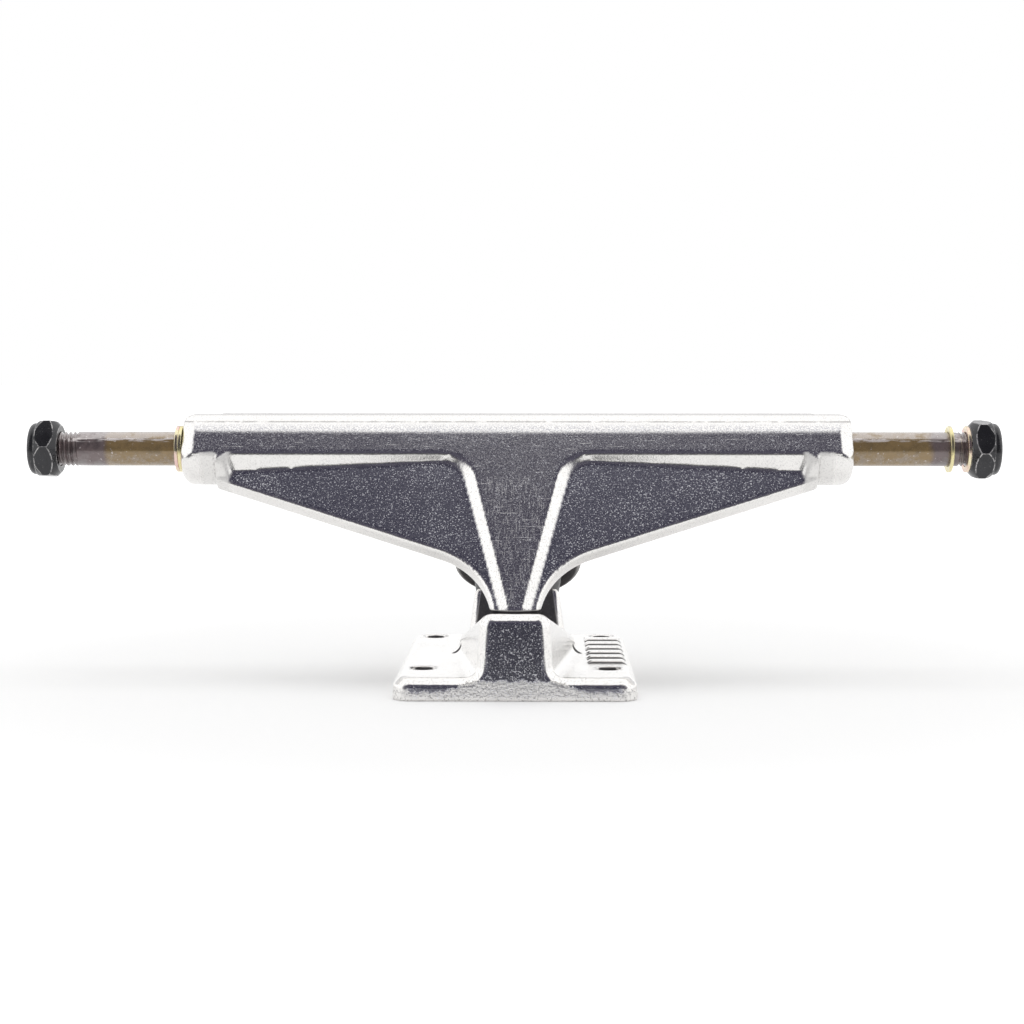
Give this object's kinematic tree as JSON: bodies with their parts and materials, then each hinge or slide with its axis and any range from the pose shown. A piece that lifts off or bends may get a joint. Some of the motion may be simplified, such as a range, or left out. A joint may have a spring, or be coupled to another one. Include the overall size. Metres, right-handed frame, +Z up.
{
  "type": "skateboard truck",
  "caption": "Cast skateboard truck with a steering hanger on rubber bushings, a steel axle with lock nuts, and a bolt-on baseplate.",
  "frame": {"origin": "centre of the deck bolt pattern, on the baseplate's underside", "axes": "+X along the axle, +Y from the pivot towards the kingpin, +Z up, away from the deck"},
  "size_m": [0.2247, 0.0772, 0.0613],
  "materials": {
    "cast_base": "tumbled cast",
    "cast_hanger": "tumbled cast",
    "axle_steel": "oiled steel",
    "plated_washers": "yellow zinc plating on steel",
    "black_nuts": "black oxide",
    "nylon": "moulded nylon",
    "kingpin_steel": "bright zinc plating",
    "cup_plastic": "moulded urethane",
    "bushings": "cast urethane",
    "kingpin_washers": "bright zinc plating"
  },
  "bodies": {
    "base": {"baseplate": "cast_base", "pivot_cup": "cup_plastic", "kingpin": "kingpin_steel", "bottom_washer": "kingpin_washers", "bottom_bushing": "bushings", "top_bushing": "bushings", "top_washer": "kingpin_washers"},
    "hanger": {"hanger": "cast_hanger", "axle": "axle_steel"},
    "kingpin_nut_ring": {"kingpin_nut_insert": "nylon"},
    "kingpin_nut": {"kingpin_nut": "black_nuts"},
    "left_nut_ring": {"axle_nut_insert_left": "nylon"},
    "left_nut": {"axle_nut_left": "black_nuts"},
    "right_nut_ring": {"axle_nut_insert_right": "nylon"},
    "right_nut": {"axle_nut_right": "black_nuts"},
    "left_washer_inner": {"washer_left_inner": "plated_washers"},
    "left_washer_outer": {"washer_left_outer": "plated_washers"},
    "right_washer_inner": {"washer_right_inner": "plated_washers"},
    "right_washer_outer": {"washer_right_outer": "plated_washers"}
  },
  "joints": [
    {"name": "steer", "type": "hinge", "parent": "base", "child": "hanger", "pos_m": [0, -0.0335, 0.0115], "axis": [0, 0.9442, 0.3293], "range_deg": [-12, 12], "stiffness_Nm_per_rad": 4, "deforming": ["bottom_bushing", "top_bushing"]},
    {"name": "kingpin_nut_travel", "type": "slide", "parent": "base", "child": "kingpin_nut_ring", "axis": [0, 0.5878, 0.809], "range_m": [0, 0.003]},
    {"name": "kingpin_nut_turn", "type": "hinge", "parent": "kingpin_nut_ring", "child": "kingpin_nut", "pos_m": [0, 0.02319, 0.04045], "axis": [0, 0.5878, 0.809], "range_deg": [0, 1021]},
    {"name": "left_nut_travel", "type": "slide", "parent": "hanger", "child": "left_nut_ring", "axis": [-1, 0, 0], "range_m": [-0.0044, 0.0049]},
    {"name": "left_nut_turn", "type": "hinge", "parent": "left_nut_ring", "child": "left_nut", "pos_m": [-0.108, -0.0045, 0.053], "axis": [-1, 0, 0], "range_deg": [-1500, 1670]},
    {"name": "right_nut_travel", "type": "slide", "parent": "hanger", "child": "right_nut_ring", "axis": [1, 0, 0], "range_m": [0, 0.0066]},
    {"name": "right_nut_turn", "type": "hinge", "parent": "right_nut_ring", "child": "right_nut", "pos_m": [0.108, -0.0045, 0.053], "axis": [1, 0, 0], "range_deg": [0, 2250]},
    {"name": "left_washer_outer_slide", "type": "slide", "parent": "hanger", "child": "left_washer_outer", "axis": [-1, 0, 0], "range_m": [0, 0.022]},
    {"name": "left_washer_inner_slide", "type": "slide", "parent": "hanger", "child": "left_washer_inner", "axis": [-1, 0, 0], "range_m": [0, 0.022]},
    {"name": "right_washer_inner_slide", "type": "slide", "parent": "hanger", "child": "right_washer_inner", "axis": [1, 0, 0], "range_m": [-0.0222, 0.001]},
    {"name": "right_washer_outer_slide", "type": "slide", "parent": "hanger", "child": "right_washer_outer", "axis": [1, 0, 0], "range_m": [-0.0021, 0]}
  ],
  "couplings": [
    {"joint": "kingpin_nut_turn", "follows": "kingpin_nut_travel", "rad_per_m": 5937.1},
    {"joint": "left_nut_turn", "follows": "left_nut_travel", "rad_per_m": 5937.1},
    {"joint": "right_nut_turn", "follows": "right_nut_travel", "rad_per_m": 5937.1},
    {"joint": "left_washer_inner_slide", "follows": "left_washer_outer_slide", "ratio": 1}
  ]
}
